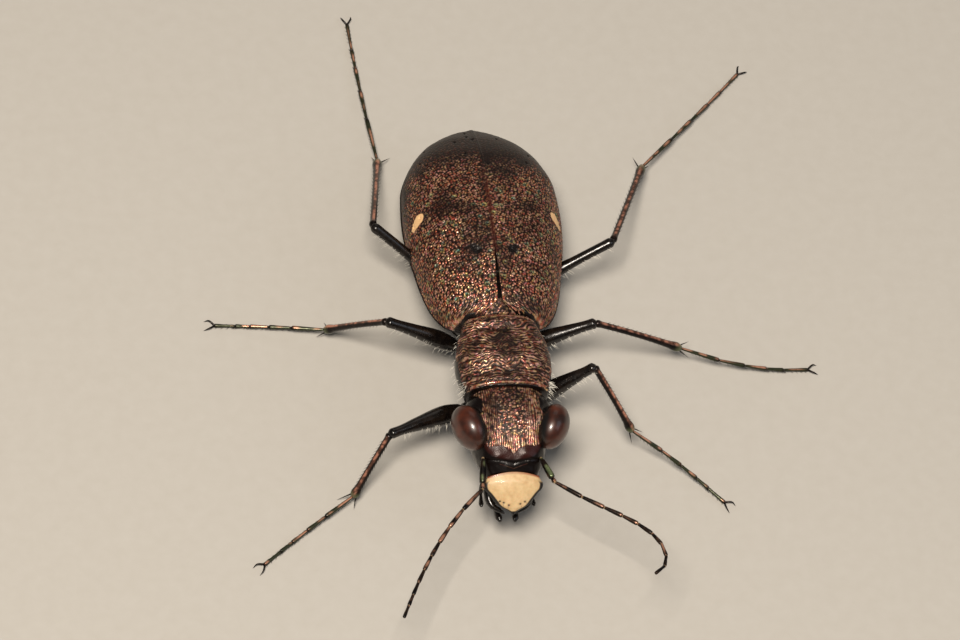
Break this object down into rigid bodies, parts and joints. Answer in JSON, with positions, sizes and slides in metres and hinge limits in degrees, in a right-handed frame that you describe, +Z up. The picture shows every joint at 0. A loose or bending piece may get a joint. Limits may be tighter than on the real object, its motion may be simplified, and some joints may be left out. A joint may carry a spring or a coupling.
{
  "type": "tiger beetle figure",
  "caption": "Still, life-size dark brown tiger beetle standing on spread legs, with bulging eyes, thin jointed feelers, domed wing cases and an ivory upper lip.",
  "frame": {"origin": "on the floor, under the middle of the beetle's box", "axes": "+Z up; -Y is the way the head points; the beetle's left is on -X"},
  "size_m": [0.0236, 0.0286, 0.0054],
  "materials": {
    "copper_shell": "coppery dark brown cuticle, finely pitted and grained",
    "black_shell": "smooth black-brown cuticle, glossy",
    "eye": "glossy chestnut brown, finely faceted",
    "upper_lip": "smooth ivory, satin",
    "feeler": "dark grey-brown with fine down, coppery at the root"
  },
  "bodies": {
    "root": {"head": "copper_shell", "eye_left": "eye", "eye_right": "eye", "labrum": "upper_lip", "mandible_left": "black_shell", "mandible_right": "black_shell", "palp_maxillary_left": "black_shell", "palp_maxillary_right": "black_shell", "palp_labial_left": "black_shell", "palp_labial_right": "black_shell", "prothorax": "copper_shell", "mesothorax": "black_shell", "metathorax": "black_shell", "abdomen": "black_shell", "scutellum": "copper_shell", "elytron_left": "copper_shell", "elytron_right": "copper_shell", "antenna_left": "feeler", "antenna_right": "feeler", "coxa_front_left": "black_shell", "femur_front_left": "black_shell", "tibia_front_left": "black_shell", "tarsus_front_left": "black_shell", "coxa_front_right": "black_shell", "femur_front_right": "black_shell", "tibia_front_right": "black_shell", "tarsus_front_right": "black_shell", "coxa_mid_left": "black_shell", "femur_mid_left": "black_shell", "tibia_mid_left": "black_shell", "tarsus_mid_left": "black_shell", "coxa_mid_right": "black_shell", "femur_mid_right": "black_shell", "tibia_mid_right": "black_shell", "tarsus_mid_right": "black_shell", "coxa_hind_left": "black_shell", "femur_hind_left": "black_shell", "tibia_hind_left": "black_shell", "tarsus_hind_left": "black_shell", "coxa_hind_right": "black_shell", "femur_hind_right": "black_shell", "tibia_hind_right": "black_shell", "tarsus_hind_right": "black_shell"}
  },
  "joints": []
}
